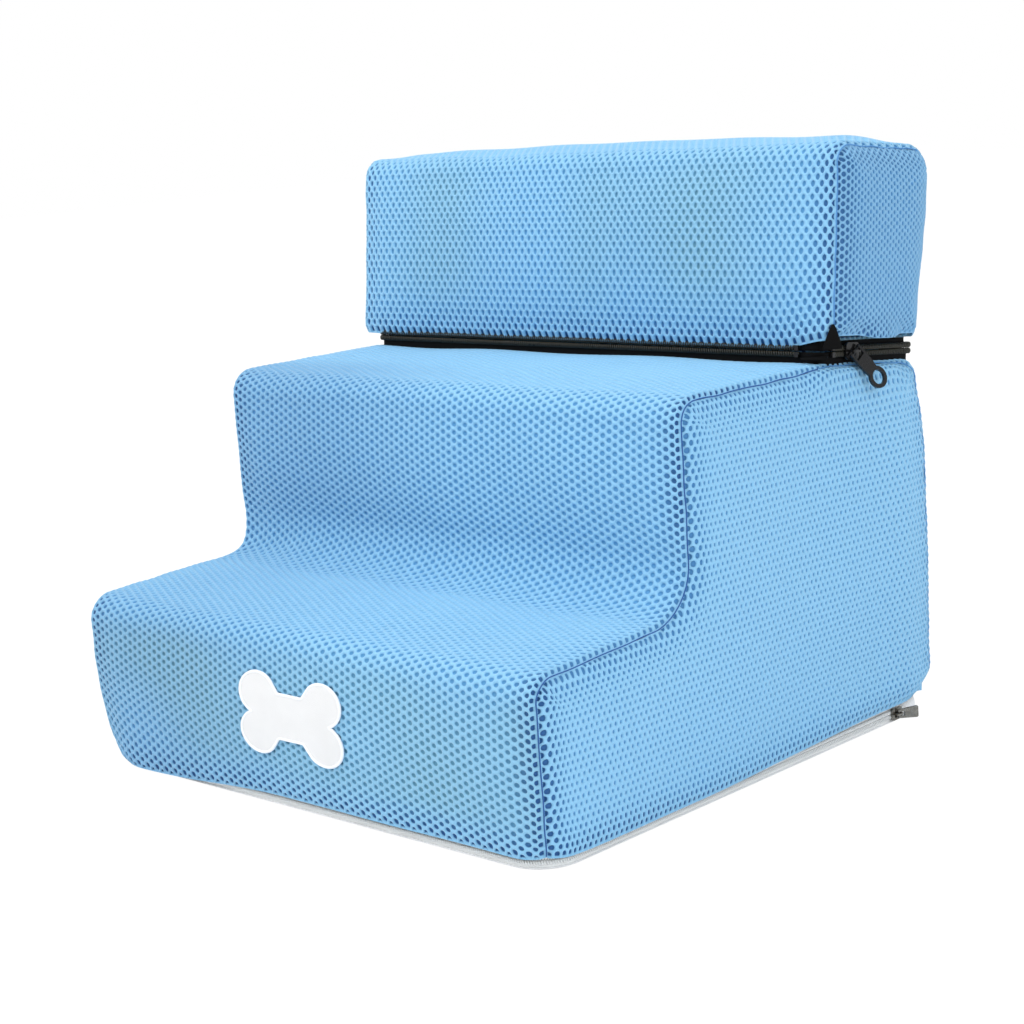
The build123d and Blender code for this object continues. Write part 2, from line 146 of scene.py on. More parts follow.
# ---- profiles ----
class Profile:
    """A path of straight runs and arcs, with its outward normals and the crown of each run."""

    def __init__(self, corners, radii, bulges, step=0.0006):
        corners = [np.array(c, float) for c in corners]
        points, crowns = [], []
        last = corners[0]
        for i in range(1, len(corners)):
            if i < len(corners) - 1:
                a = corners[i - 1] - corners[i]
                b = corners[i + 1] - corners[i]
                a /= np.linalg.norm(a)
                b /= np.linalg.norm(b)
                half = math.acos(a @ b) / 2
                radius = radii[i - 1]
                start = corners[i] + a * radius / math.tan(half)
                end = corners[i] + b * radius / math.tan(half)
                centre = corners[i] + (a + b) / np.linalg.norm(a + b) * radius / math.sin(half)
            else:
                start = corners[i]
            count = max(int(np.linalg.norm(start - last) / step), 2)
            t = np.linspace(0, 1, count, endpoint=False)[:, None]
            points.append(last + (start - last) * t)
            crowns.append(bulges[i - 1] * (1 - (2 * t[:, 0] - 1) ** 2))
            if i < len(corners) - 1:
                first = math.atan2(*(start - centre)[::-1])
                sweep = math.atan2(*(end - centre)[::-1]) - first
                sweep = (sweep + math.pi) % math.tau - math.pi
                count = max(int(abs(sweep) * radius / step), 6)
                angle = first + sweep * np.linspace(0, 1, count, endpoint=False)
                points.append(centre + radius * np.stack([np.cos(angle), np.sin(angle)], -1))
                crowns.append(np.zeros(count))
                last = end
        points.append(corners[-1][None])
        crowns.append(np.zeros(1))
        self.points = np.concatenate(points)
        crown = np.concatenate(crowns)
        kernel = np.hanning(15)
        kernel /= kernel.sum()
        self.crown = np.convolve(np.pad(crown, 7, mode="edge"), kernel, mode="valid")
        self.s = path_lengths(self.points)
        along = np.gradient(self.points, self.s, axis=0)
        along /= np.linalg.norm(along, axis=1)[:, None]
        normal = np.stack([-along[:, 1], along[:, 0]], -1)
        for axis in (0, 1):
            padded = np.pad(normal[:, axis], 2, mode="edge")
            normal[:, axis] = np.convolve(padded, np.ones(5) / 5, mode="valid")
        self.normal = normal / np.linalg.norm(normal, axis=1)[:, None]
        self.length = self.s[-1]

    def at(self, s):
        """Position, outward normal and crown at path length s."""
        return *read_line(s, self.s, self.points, self.normal), np.interp(s, self.s, self.crown)

    def nearest(self, a, b):
        """Distance from each point to the path, and the path length of the nearest place."""
        coarse, lengths = self.points[::4], self.s[::4]
        best, share, near = nearest_on(np.stack([a, b], -1), coarse[:-1], coarse[1:])
        return near, lengths[best] + share * (lengths[best + 1] - lengths[best])


stair_drop = seat_run * math.tan(lean)
stair_corners = [
    (front_y, hem),
    (front_y, rise_1),
    (riser_2_y, rise_1 + tread_1_slope_rise),
    (riser_2_y, seat_z),
    (seat_y, seat_z),
    (back_y, seat_z - stair_drop),
    (back_y, hem),
]
seat_bend_radius = 0.006
stair_back_radius = 0.0105
back_crown = 0.005
stair_radii = [nosing_radius, inner_corner_radius, nosing_radius, seat_bend_radius, stair_back_radius]
stair_bulges = [face_crown, tread_crown, face_crown, tread_crown, 0.0, back_crown]
stair_profile = Profile(stair_corners, stair_radii, stair_bulges)

foot_return = 0.02
top_corners = [
    (foot_return, join_band),
    (0.0, join_band),
    (0.0, join_band + top_height),
    (top_depth, join_band + top_height),
    (top_depth, join_band),
    (top_depth - foot_return, join_band),
]
top_heel = 0.008
top_back_radius = 0.015
top_face_crown = 0.004
top_crown = 0.005
top_radii = [top_heel, top_corner_radius, top_back_radius, top_heel]
top_bulges = [0.0, top_face_crown, top_crown, top_face_crown, 0.0]
top_profile = Profile(top_corners, top_radii, top_bulges)


# ---- panels of the covers ----
# A rounding is the size of a seam's quarter round across the steps, and in from the face
groove_depth = 0.0011
groove_width = 0.0010
stair_rounding = (0.0045, 0.0095)
top_rounding = (0.0050, 0.0066)
slack_length = 0.075
strip_slack = 0.00042
side_slack = 0.0004
pucker_length = 0.017
pucker_reach = 0.007
strip_pucker = 0.00035
side_pucker = 0.0003
seam_hold = 0.022
hem_turn = 0.0010
hem_turn_height = 0.006
hem_bulge_height = 0.02
strip_hem_bulge = 0.0015
side_hem_bulge = 0.0012
hem_seam_hold = 0.014


def arc_length(across, along, first, last):
    """Length of part of an elliptical arc, between two angles."""
    angle = np.linspace(first, last, 9)
    return np.mean(np.hypot(across * np.cos(angle), along * np.sin(angle))) * (last - first)


def hem_tuck(height, bulge):
    """How far a hem turns in at its edge, less how far it stands proud of the zipper below it."""
    return hem_turn * turned_in(height, hem_turn_height) - bulge * (1 - smooth(height / hem_bulge_height))


def strip_map(profile, place, half, rounding, seed, hemmed=False, firm=lambda s: 1.0):
    """A panel that follows a profile from side seam to side seam. Its flat sizes are path length and x."""
    rounding_x, rounding_face = rounding
    wrap_arc = arc_length(rounding_x, rounding_face, 0, math.pi / 4)

    def at(s, x):
        a, b, na, nb, crown = profile.at(s)
        gap = half - np.abs(x)
        over = np.clip(1 - gap / wrap_arc, 0, 1) * math.pi / 4
        share = np.clip(1 - (x / half) ** 2, 0, 1)
        groove = groove_depth * np.exp(-((gap / groove_width) ** 2))
        inner = smooth(gap / seam_hold)
        lift = crown * (0.55 + 0.45 * np.sqrt(share)) * inner
        lift = lift + waves(seed, s, x, slack_length, strip_slack) * inner
        lift = lift + waves(seed + 1, s, x * 0.3, pucker_length, strip_pucker) * np.exp(-gap / pucker_reach)
        lift = lift - rounding_face * firm(s) * (1 - np.cos(over)) - groove * np.cos(over)
        if hemmed:
            from_end = profile.length - s
            lift = lift - hem_tuck(np.minimum(s, from_end), strip_hem_bulge) * smooth(gap / hem_seam_hold)
            lift = lift - 0.8 * np.maximum(lift, 0) * (1 - smooth(from_end / 0.03))
        flat = np.abs(x) * (half - rounding_x) / (half - wrap_arc)
        rounded = half - rounding_x + rounding_x * np.sin(over)
        shown = np.where(over > 0, rounded, flat) - groove * np.sin(over)
        return place(np.sign(x) * shown, a + na * lift, b + nb * lift)

    return at


def side_map(profile, place, half, rounding, side, seed, reach, crown, low=None, firm=lambda s: 1.0):
    """A side panel with a rounded rim and a swollen middle. Its flat sizes are its own plane's."""
    rounding_x, rounding_face = rounding
    side_arc = arc_length(rounding_x, rounding_face, math.pi / 4, math.pi / 2)
    spare_reach = 6.0 * (rounding_face - side_arc)

    def spare_at(a, b):
        """How far the flat part of the panel moves inwards to make room for its rim."""
        near, s = profile.nearest(a, b)
        qa, qb, _, _, _ = profile.at(s)
        room = (rounding_face * firm(s) - side_arc) * (1 - smooth((near - side_arc) / spare_reach))
        share = room / np.maximum(near, 1e-6)
        return (a - qa) * share, (b - qb) * share

    def at(a, b):
        near, s = profile.nearest(a, b)
        qa, qb, na, nb, _ = profile.at(s)
        outside = (a - qa) * na + (b - qb) * nb > 0
        near = np.where(outside, -near, near)
        over = (1 + np.clip(near / side_arc, -0.9, 1)) * math.pi / 4
        inset = rounding_face * firm(s) * (1 - np.cos(over))
        groove = groove_depth * np.exp(-((near / groove_width) ** 2))
        inset = inset + groove * np.cos(over)
        size = np.maximum(near, 1e-6)
        da = np.where(near > 3e-4, (a - qa) / size, -na)
        db = np.where(near > 3e-4, (b - qb) / size, -nb)
        x = half - rounding_x + rounding_x * np.sin(over) - groove * np.sin(over)
        swell = 1 - (1 - np.clip((near - side_arc / 2) / reach, 0, 1)) ** 3
        x = x + crown * swell + waves(seed, a, b, slack_length, side_slack) * smooth(near / 0.02)
        x = x + waves(seed + 1, a, b, pucker_length, side_pucker) * np.exp(-near / pucker_reach)
        if low is not None:
            x = x - hem_tuck(b - low, side_hem_bulge) * smooth(near / hem_seam_hold)
        flat = near >= side_arc
        blur = np.clip((near - side_arc) * 0.5, 0, 0.004)
        moves = [spare_at(a + p * blur, b + q * blur) for p, q in ((1, 0), (-1, 0), (0, 1), (0, -1))]
        move_a, move_b = np.mean(moves, axis=0)
        panel_a = np.where(flat, a + move_a, qa + da * inset)
        panel_b = np.where(flat, b + move_b, qb + db * inset)
        return place(side * x, panel_a, panel_b)

    return at


class Surface:
    """A fine grid of the points that a panel's map gives, and their normals, read between its lines."""

    def __init__(self, at, low, high, outward, step=0.001):
        self.low = np.array(low, float)
        self.count = np.maximum(np.ceil((np.array(high) - self.low) / step).astype(int), 2) + 1
        self.step = (np.array(high) - self.low) / (self.count - 1)
        u = self.low[0] + self.step[0] * np.arange(self.count[0])
        v = self.low[1] + self.step[1] * np.arange(self.count[1])
        uu, vv = (g.ravel() for g in np.meshgrid(u, v, indexing="ij"))
        self.points = at(uu, vv).reshape(*self.count, 3)
        normal = np.cross(np.gradient(self.points, axis=0), np.gradient(self.points, axis=1)) * outward
        self.normals = normal / np.maximum(np.linalg.norm(normal, axis=-1, keepdims=True), 1e-12)

    def read(self, grid, u, v):
        """A grid's values at places between its lines."""
        place = (np.stack([u, v], -1) - self.low) / self.step
        cell = np.clip(np.floor(place).astype(int), 0, self.count - 2)
        part = place - cell
        i, j = cell[..., 0], cell[..., 1]
        p, q = part[..., :1], part[..., 1:]
        near = grid[i, j] * (1 - p) * (1 - q) + grid[i + 1, j] * p * (1 - q)
        return near + grid[i, j + 1] * (1 - p) * q + grid[i + 1, j + 1] * p * q

    def point(self, u, v):
        return self.read(self.points, u, v)

    def normal(self, u, v):
        found = self.read(self.normals, u, v)
        return found / np.maximum(np.linalg.norm(found, axis=-1, keepdims=True), 1e-12)


def polygon_distance(points, polygon, block=8000):
    """Distance to a closed outline, the nearest place on it, and whether each point is inside."""
    start, end = polygon, np.roll(polygon, -1, 0)
    run = end - start
    best, share, near = nearest_on(points, start, end)
    place = start[best] + run[best] * share[:, None]
    inside = np.empty(len(points), bool)
    for k in range(0, len(points), block):
        x, y = points[k : k + block, :1], points[k : k + block, 1:]
        across = (start[:, 1] > y) != (end[:, 1] > y)
        with np.errstate(divide="ignore", invalid="ignore"):
            crossing = start[:, 0] + (y - start[:, 1]) * run[:, 0] / run[:, 1]
        inside[k : k + block] = (across & (x < crossing)).sum(1) % 2 == 1
    return near, place, inside


def cell_corners(a, b):
    """The six corners of the cell round a lattice point, in turn."""
    box = [np.array(c, float) for c in ((-1, -1), (1, -1), (1, 1), (-1, 1))]
    reach = 4 * max(np.linalg.norm(a), np.linalg.norm(b))
    shape = [c * reach for c in box]
    for i in range(-2, 3):
        for j in range(-2, 3):
            other = i * a + j * b
            if i == j == 0:
                continue
            limit = other @ other / 2
            kept = []
            for k, p in enumerate(shape):
                q = shape[(k + 1) % len(shape)]
                fp, fq = p @ other - limit, q @ other - limit
                if fp <= 0:
                    kept.append(p)
                if (fp < 0) != (fq < 0):
                    kept.append(p + (q - p) * fp / (fp - fq))
            shape = kept
    clean = [p for k, p in enumerate(shape) if np.linalg.norm(p - shape[k - 1]) > 1e-7]
    return np.array(clean)


def add_object(name, data):
    """A new object in the scene."""
    made = bpy.data.objects.new(name, data)
    scene.collection.objects.link(made)
    return made


def fill_mesh(name, points, loops, starts, attributes, uv):
    """A mesh object from arrays of points, face corners and face starts."""
    mesh = bpy.data.meshes.new(name)
    mesh.vertices.add(len(points))
    mesh.vertices.foreach_set("co", points.astype(np.float32).ravel())
    mesh.loops.add(len(loops))
    mesh.loops.foreach_set("vertex_index", loops.astype(np.int32))
    mesh.polygons.add(len(starts))
    mesh.polygons.foreach_set("loop_start", starts.astype(np.int32))
    mesh.update(calc_edges=True)
    mesh.validate()
    mesh.polygons.foreach_set("use_smooth", np.ones(len(mesh.polygons), bool))
    for key, values in attributes.items():
        mesh.attributes.new(key, "FLOAT", "POINT").data.foreach_set("value", values.astype(np.float32))
    if uv is not None:
        layer = mesh.uv_layers.new(name="OFBake")
        low, high = uv.min(0), uv.max(0)
        flat = 0.01 + 0.98 * (uv - low) / (high - low)
        layer.data.foreach_set("uv", flat[loops].astype(np.float32).ravel())
    mesh.update()
    return add_object(name, mesh)


sharp_cosine = 0.82
corner_key = 2e-6
pit_depth = 0.00125
lip_depth = 0.00022
widest_hole_share = 0.82
floor_share = 0.86
cell_rim_gap = 0.00075
corner_snap = 0.004
seam_hole_zone = 0.011
seam_shade_zone = 0.0105


def evenly(value):
    """A panel's shading that is the same all over."""
    return lambda u, v: np.full(len(u), value)


def lattice(a, b, outline):
    """The cells of a lattice inside an outline: their corner points, and each cell's corners by number."""
    shape = cell_corners(a, b)
    low, high = outline.min(0), outline.max(0)
    middle = (low + high) / 2
    reach = np.linalg.norm(high - low) / 2
    det = abs(a[0] * b[1] - a[1] * b[0])
    count = int(reach * max(np.linalg.norm(a), np.linalg.norm(b)) / det) + 2
    i, j = np.meshgrid(np.arange(-count, count + 1), np.arange(-count, count + 1))
    centres = middle + i.reshape(-1, 1) * a + j.reshape(-1, 1) * b
    pad = np.abs(shape).max()
    centres = centres[((centres > low - pad) & (centres < high + pad)).all(1)]
    near, _, inside = polygon_distance(centres, outline)
    used = inside & (near > cell_rim_gap)
    corners = centres[:, None] + shape
    keys = np.round(corners.reshape(-1, 2) / corner_key).astype(np.int64)
    _, first, which = np.unique(keys, axis=0, return_index=True, return_inverse=True)
    which = which.reshape(-1, len(shape))
    uses = np.bincount(which[used].ravel(), minlength=len(first))
    total = np.bincount(which.ravel(), minlength=len(first))
    spots = corners.reshape(-1, 2)[first]
    _, rim_place, inside = polygon_distance(spots, outline)
    snapped = (uses > 0) & ((uses < total) | ~inside)
    spots[snapped] = rim_place[snapped]
    rim = np.flatnonzero(snapped)
    for p in [p for p in outline if is_sharp(p, outline)]:
        closest = rim[((spots[rim] - p) ** 2).sum(1).argmin()]
        if np.linalg.norm(spots[closest] - p) < corner_snap:
            spots[closest] = p
    live = np.flatnonzero(uses > 0)
    number = np.full(len(first), -1)
    number[live] = np.arange(len(live))
    return shape, spots[live], number[which[used]]


def air_mesh(
    name, at, outline, outward, weave, seed, middle_scale=1.0,
    tint=evenly(0.0), dark=evenly(1.0), painted_shade=evenly(0.0),
):
    """A panel of spacer fabric: one hole in each lattice cell, sunk in the panel's surface."""
    a, b, hole = (np.array(part, float) for part in weave)
    outline = np.array(outline, float)
    panel = Surface(at, outline.min(0), outline.max(0), outward)
    shape, spots, cells = lattice(a, b, outline)
    cell_points = spots[cells]
    centre = cell_points.mean(1)
    count, sides = cells.shape
    mids = (cell_points + np.roll(cell_points, -1, 1)) / 2
    arms = np.stack([cell_points, mids], 2).reshape(count, 2 * sides, 2) - centre[:, None]
    regular = np.stack([shape, (shape + np.roll(shape, -1, 0)) / 2], 1).reshape(-1, 2)
    angle = np.arctan2(regular[:, 1], regular[:, 0])
    ellipse = 1 / np.hypot(np.cos(angle) / hole[0], np.sin(angle) / hole[1])
    share = np.minimum(ellipse / np.linalg.norm(regular, axis=1), widest_hole_share)
    rng = np.random.default_rng(seed)
    cell_near, _, _ = polygon_distance(centre, outline)
    size = middle_scale + (1 - middle_scale) * np.exp(-((cell_near / seam_hole_zone) ** 2))
    size = size * rng.uniform(0.93, 1.07, count)
    ring = centre[:, None] + arms * (share * size[:, None])[..., None]
    floor = centre[:, None] + arms * (share * size[:, None] * floor_share)[..., None]
    flat = np.concatenate([spots, ring.reshape(-1, 2), floor.reshape(-1, 2)])
    n_rim, n_ring = len(spots), count * 2 * sides
    down = np.concatenate([np.zeros(n_rim), np.full(n_ring, lip_depth), np.full(n_ring, pit_depth)])
    u, v = flat[:, 0], flat[:, 1]
    flat_near, _, _ = polygon_distance(flat, outline)
    edge = np.exp(-((flat_near / seam_shade_zone) ** 2)) * dark(u, v)
    down = down * (0.8 + 0.5 * edge)
    points = panel.point(u, v) - panel.normal(u, v) * down[:, None]
    k, m = np.arange(sides), np.arange(2 * sides)
    ring_id = n_rim + np.arange(count)[:, None] * 2 * sides
    floor_id = ring_id + n_ring
    even, odd, after = ring_id + 2 * k, ring_id + 2 * k + 1, ring_id + (2 * k + 2) % (2 * sides)
    tops = np.stack([cells, np.roll(cells, -1, 1), after, odd, even], -1).reshape(-1, 5)
    beside = np.roll(m, -1)
    walls = np.stack([ring_id + m, ring_id + beside, floor_id + beside, floor_id + m], -1).reshape(-1, 4)
    faces = [tops, walls, (floor_id + m).reshape(-1, 2 * sides)]
    if outward < 0:
        faces = [kind[:, ::-1] for kind in faces]
    loops = np.concatenate([kind.ravel() for kind in faces])
    sizes = np.concatenate([np.full(len(kind), kind.shape[1]) for kind in faces])
    starts = np.concatenate([[0], np.cumsum(sizes)[:-1]])
    pit = np.concatenate([np.zeros(n_rim), np.full(n_ring, 0.12), np.ones(n_ring)])
    # The last of these values is painted shade, for the material.
    values = {"pit": pit, "edge": edge, "tint": tint(u, v), "painted_shade": painted_shade(u, v)}
    return fill_mesh(name, points, loops, starts, values, flat)


def is_sharp(p, outline):
    """True where a closed outline turns by more than about 35 degrees at p."""
    k = np.flatnonzero((outline == p).all(1))[0]
    a = p - outline[k - 1]
    b = outline[(k + 1) % len(outline)] - p
    return (a @ b) / (np.linalg.norm(a) * np.linalg.norm(b)) < sharp_cosine


def rectangle(low, high):
    """The outline of a rectangle, from two opposite corners."""
    return [(low[0], low[1]), (high[0], low[1]), (high[0], high[1]), (low[0], high[1])]


# ---- slack of the covers, in metres ----
left_foot_radius = 0.034
right_foot_radius = 0.018
left_foot_reach = 0.055
right_foot_reach = 0.03
back_hem_rise = 0.0044
back_end_rise = 0.0026
back_swell = 0.0092
back_side_swell = 0.0042
left_swell = 0.0042
front_sag = 0.0054
crease_depth = 0.0036
crease_size = 0.013
crease_y = riser_2_y - 0.0076
crease_z = rise_1 + tread_1_slope_rise + 0.0076


def round_corner(x, y, side, radius, amount):
    """Draws a front corner of the plan in towards the given radius."""
    across = side * x - (half_width - radius)
    ahead = front_y + radius - y
    size = np.maximum(np.hypot(across, ahead), 1e-9)
    share = 1 + (np.maximum(across, ahead) / size - 1) * amount
    share = np.where((across > 0) & (ahead > 0), share, 1.0)
    return side * (half_width - radius + across * share), front_y + radius - ahead * share


def back_rise(y):
    """How much the hem lifts towards the back."""
    return back_hem_rise * smooth((y - front_y - 0.10) / 0.17)


def soft_stair(x, y, z):
    """Gives the stepped block its slack: low front corners drawn in, a sagging hem, a swollen back."""
    x, y, z = np.broadcast_arrays(x, y, z)
    up = z - hem
    low = 1 - smooth(up / 0.05)
    sag = smooth(1.25 - np.hypot(x + half_width, y - front_y) / 0.12) * (1 - smooth(up / 0.034))
    x, y = round_corner(x, y, -1, left_foot_radius, turned_in(up, left_foot_reach))
    x, y = round_corner(x, y, 1, right_foot_radius, turned_in(up, right_foot_reach))
    top_part = 1 - 0.5 * smooth((z - 0.14) / 0.055)
    full = (0.8 + 0.2 * smooth((z - 0.03) / 0.06)) * (1 - turned_in(up, 0.016)) * top_part
    back = smooth((y - back_y + 0.05) / 0.05) * full
    back_side = smooth((y - back_y + 0.11) / 0.11) * smooth((up + 0.002) / 0.014) * top_part
    back_side = back_side * smooth((np.abs(x) - 0.10) / 0.06)
    end_rise = back_end_rise * smooth((y - back_y + 0.022) / 0.022) * (1 - smooth(up / 0.02))
    z = z + back_rise(y) * (1 - smooth(up / 0.09)) + end_rise
    wide = smooth((-x - 0.09) / 0.07) * (0.4 + 0.6 * (1 - smooth((y - front_y) / 0.12))) * (1 - 0.3 * low)
    crease = np.exp(-(((y - crease_y) / crease_size) ** 2) - ((z - crease_z) / crease_size) ** 2)
    crease = crease_depth * crease * smooth((-x - 0.09) / 0.06)
    x = x + np.sign(x) * back_side_swell * back_side - left_swell * wide
    return on_floor(x, y + back_swell * back + crease, z - front_sag * sag - crease)


top_sag = 0.0024
top_front_sag = 0.0048
top_foot_draw = 0.0030
top_front_draw = 0.0010
top_back_swell = 0.0036
top_left_swell = 0.0022


def soft_top(x, v, u):
    """Gives the top step its slack: its front hem sags, and its foot is drawn in towards the zipper."""
    x, v, u = np.broadcast_arrays(x, v, u)
    up = u - join_band
    foot = 1 - smooth(up / 0.055)
    front = smooth((0.168 - x) / 0.032) * (1 - 0.75 * smooth((v - 0.02) / 0.03))
    full = smooth((up - 0.01) / 0.06) * smooth((v - 0.02) / 0.055)
    drawn = top_foot_draw * (1 - smooth(up / 0.075)) * smooth((v - 0.03) / 0.045)
    drawn = drawn + top_front_draw * foot * (1 - smooth(v / 0.03))
    x = x - top_left_swell * smooth((-x - 0.10) / 0.07)
    return on_seat(x, v - drawn + top_back_swell * full, u - (top_sag + top_front_sag * front) * foot)


# The wrap ends and the back panel starts at the upper corner of the back
wrap_end = stair_profile.length - (seat_z - stair_drop - hem)
seat_start = float(stair_profile.nearest(np.array([seat_y]), np.array([seat_z]))[1][0])
seat_end = float(stair_profile.nearest(np.array([back_y]), np.array([seat_z - stair_drop]))[1][0])


def stair_firm(s):
    """How much of the side rounding is left: little beside the seat, where the zipper holds the cover up."""
    return 1 - 0.68 * smooth((s - seat_start + 0.016) / 0.026) * smooth((seat_end - 0.002 - s) / 0.02)


# The two steps of each lattice of holes, and a hole's two radii
strip_weave = ((0.0042, 0.0), (0.0021, 0.00385), (0.00136, 0.00190))
side_weave = ((0.00175, 0.00335), (0.00175, -0.00335), (0.00122, 0.00158))
top_weave = ((0.00325, 0.0025), (0.00325, -0.0025), (0.00188, 0.00138))
top_side_weave = ((0.0024, 0.0018), (0.0024, -0.0018), (0.00122, 0.00132))
under_weave = ((0.00385, 0.0021), (0.0, 0.0042), (0.00175, 0.00118))

stair_strip = strip_map(stair_profile, soft_stair, half_width, stair_rounding, 11, True, stair_firm)


def stair_tint(s, x):
    """Where the foam shows through: the middle of the front."""
    front = smooth(s / 0.02) * smooth((0.088 - s) / 0.03)
    return np.clip(front * (0.72 + waves(31, s, x, 0.10, 0.35)), 0, 1)


# Path lengths up the steps, and how much painted shade the fabric gets at each
shade_places = (0.0, 0.075, 0.10, 0.19, 0.215, 0.30, 0.325, 0.42)
shade_amounts = (0.8, 0.8, 0.45, 0.45, 0.95, 0.95, 0.25, 0.1)


def stair_painted_shade(s, x):
    """Painted shade on the fabric: darker towards the left, most on the two risers."""
    left = smooth((0.045 - x) / 0.17)
    return left * np.interp(s, shade_places, shade_amounts)


def steep(s, x):
    """How dark the holes are by the seams: darkest beside the two risers."""
    front = smooth((0.10 - s) / 0.02)
    riser = smooth((s - 0.20) / 0.03) * smooth((0.33 - s) / 0.02)
    return 0.4 + 0.6 * np.maximum(front, riser)


def steep_side(y, z):
    """How dark the holes are by the rim of a side: darkest by the front and by the hem."""
    _, s = stair_profile.nearest(y, z)
    low = smooth(1 - (z - hem) / 0.012)
    return np.maximum(0.45 + 0.55 * smooth((0.10 - s) / 0.02), low)


strip_outline = rectangle((0.0, -half_width), (wrap_end, half_width))
stair_wrap = air_mesh(
    "stair_wrap_mesh", stair_strip, strip_outline, -1.0, strip_weave, 1, 0.9, stair_tint, steep, stair_painted_shade
)
back_outline = rectangle((wrap_end, -half_width), (stair_profile.length, half_width))
stair_back = air_mesh("stair_back_mesh", stair_strip, back_outline, -1.0, strip_weave, 2, 0.9)


def thinned(points):
    """An outline with only as many points as its bends need."""
    kept = [points[0]]
    for k in range(1, len(points) - 1):
        a, b = points[k] - kept[-1], points[k + 1] - points[k]
        turn = abs(a[0] * b[1] - a[1] * b[0]) / (np.linalg.norm(a) * np.linalg.norm(b))
        if turn > 0.05 or np.linalg.norm(a) > 0.02:
            kept.append(points[k])
    return np.array(kept + [points[-1]])


def side_panels(part, outline, weave, seed, map_seed, middle_scale, shading, *place, **edge):
    """The right and the left side of a cover, by their names."""
    made = {}
    for side, word in ((1, "right_side"), (-1, "left_side")):
        at = side_map(*place, side=side, seed=map_seed + side, **edge)
        name = f"{part}_{word}_mesh"
        made[word] = air_mesh(name, at, outline, float(side), weave, seed + side, middle_scale, **shading)
    return made


stair_sides = side_panels(
    "stair", thinned(stair_profile.points), side_weave, 5, 41, 0.66, {"dark": steep_side},
    stair_profile, soft_stair, half_width, stair_rounding,
    reach=stair_crown_reach, crown=side_crown, low=hem, firm=stair_firm,
)

top_strip = strip_map(top_profile, soft_top, top_half_width, top_rounding, 21)
heel = foot_return - top_heel + top_heel * math.pi / 4


def top_tint(s, x):
    """Where the foam shows through on the front of the top step: its left and right thirds."""
    front = smooth((s - 0.022) / 0.035) * smooth((0.125 - s) / 0.035)
    thirds = smooth((np.abs(x + 0.035) - 0.012) / 0.05) * smooth((0.165 - np.abs(x)) / 0.05)
    return np.clip(front * thirds * (0.6 + waves(33, s, x, 0.08, 0.25)), 0, 1)


def top_dark(s, x):
    """How dark the holes are by the seams: darkest on the front."""
    return 0.35 + 0.65 * smooth((0.125 - s) / 0.015)


top_outline = rectangle((heel, -top_half_width), (top_profile.length - heel, top_half_width))
top_wrap = air_mesh("top_wrap_mesh", top_strip, top_outline, -1.0, top_weave, 3, 0.88, top_tint, top_dark)
above_heel = (top_profile.s >= heel) & (top_profile.s <= top_profile.length - heel)
top_sides = side_panels(
    "top", thinned(top_profile.points[above_heel]), top_side_weave, 8, 51, 0.92,
    # Painted shade, even all over both sides of the top step
    {"dark": evenly(0.6), "painted_shade": evenly(0.85)},
    top_profile, soft_top, top_half_width, top_rounding, reach=top_crown_reach, crown=top_side_crown,
)

underside_lift = 0.0022
underside_rim = 0.0055


def underside(x, v):
    """The bottom of the top step: its rim lies above the zipper, its middle sinks onto the seat."""
    gap = np.minimum(half_width - np.abs(x), np.minimum(v, top_depth - v))
    fall = smooth((gap - 0.0062) / 0.009)
    u = join_band + underside_lift * (1 - fall) - (join_band - 0.0006) * fall
    return soft_top(x, v, u + waves(61, x, v, 0.05, 0.0002) * fall)


under_reach = top_half_width - underside_rim
under_outline = rectangle((-under_reach, underside_rim), (under_reach, top_depth - underside_rim))
top_bottom = air_mesh("top_bottom_mesh", underside, under_outline, -1.0, under_weave, 4)


# ---- materials ----
class Tree:
    """The node tree of a new material or world, filled from empty."""

    def __init__(self, owner):
        owner.use_nodes = True
        self.owner = owner
        self.nodes, self.links = owner.node_tree.nodes, owner.node_tree.links
        self.nodes.clear()

    def put(self, kind, settings=None, pick=0, **inputs):
        """Adds a node with its inputs, by name or as i and a number, and gives one of its outputs."""
        node = self.nodes.new(kind)
        for key, value in (settings or {}).items():
            setattr(node, key, value)
        for key, value in inputs.items():
            numbered = key[0] == "i" and key[1:].isdigit()
            socket = node.inputs[int(key[1:]) if numbered else key.replace("_", " ")]
            if isinstance(value, bpy.types.NodeSocket):
                self.links.new(value, socket)
            else:
                socket.default_value = value
        return node.outputs[pick] if len(node.outputs) else None

    def mixed(self, factor, first, second, **settings):
        """A colour between two others."""
        return self.put("ShaderNodeMix", {"data_type": "RGBA", **settings}, 2, i0=factor, i6=first, i7=second)

    def times(self, first, second):
        """The product of two values."""
        return self.put("ShaderNodeMath", {"operation": "MULTIPLY"}, i0=first, i1=second)

    def texture(self, kind, scale, settings=None, pick=0, **inputs):
        """A texture laid in the object's own space."""
        where = self.put("ShaderNodeTexCoord", pick="Object")
        return self.put(f"ShaderNodeTex{kind}", settings, pick, Vector=where, Scale=scale, **inputs)

    def principled(self, colour, roughness, height, strength, distance, **inputs):
        """Joins a shader with a bump to the output, and gives the material."""
        bump = self.put("ShaderNodeBump", Strength=strength, Distance=distance, Height=height)
        shader = self.put(
            "ShaderNodeBsdfPrincipled", Base_Color=colour, Roughness=roughness, Normal=bump, **inputs
        )
        self.put("ShaderNodeOutputMaterial", i0=shader)
        return self.owner


def rgb(r, g, b):
    """Linear colour from display values of 0 to 255."""
    linear = (((c / 255 + 0.055) / 1.055) ** 2.4 if c > 10 else c / 255 / 12.92 for c in (r, g, b))
    return (*linear, 1.0)


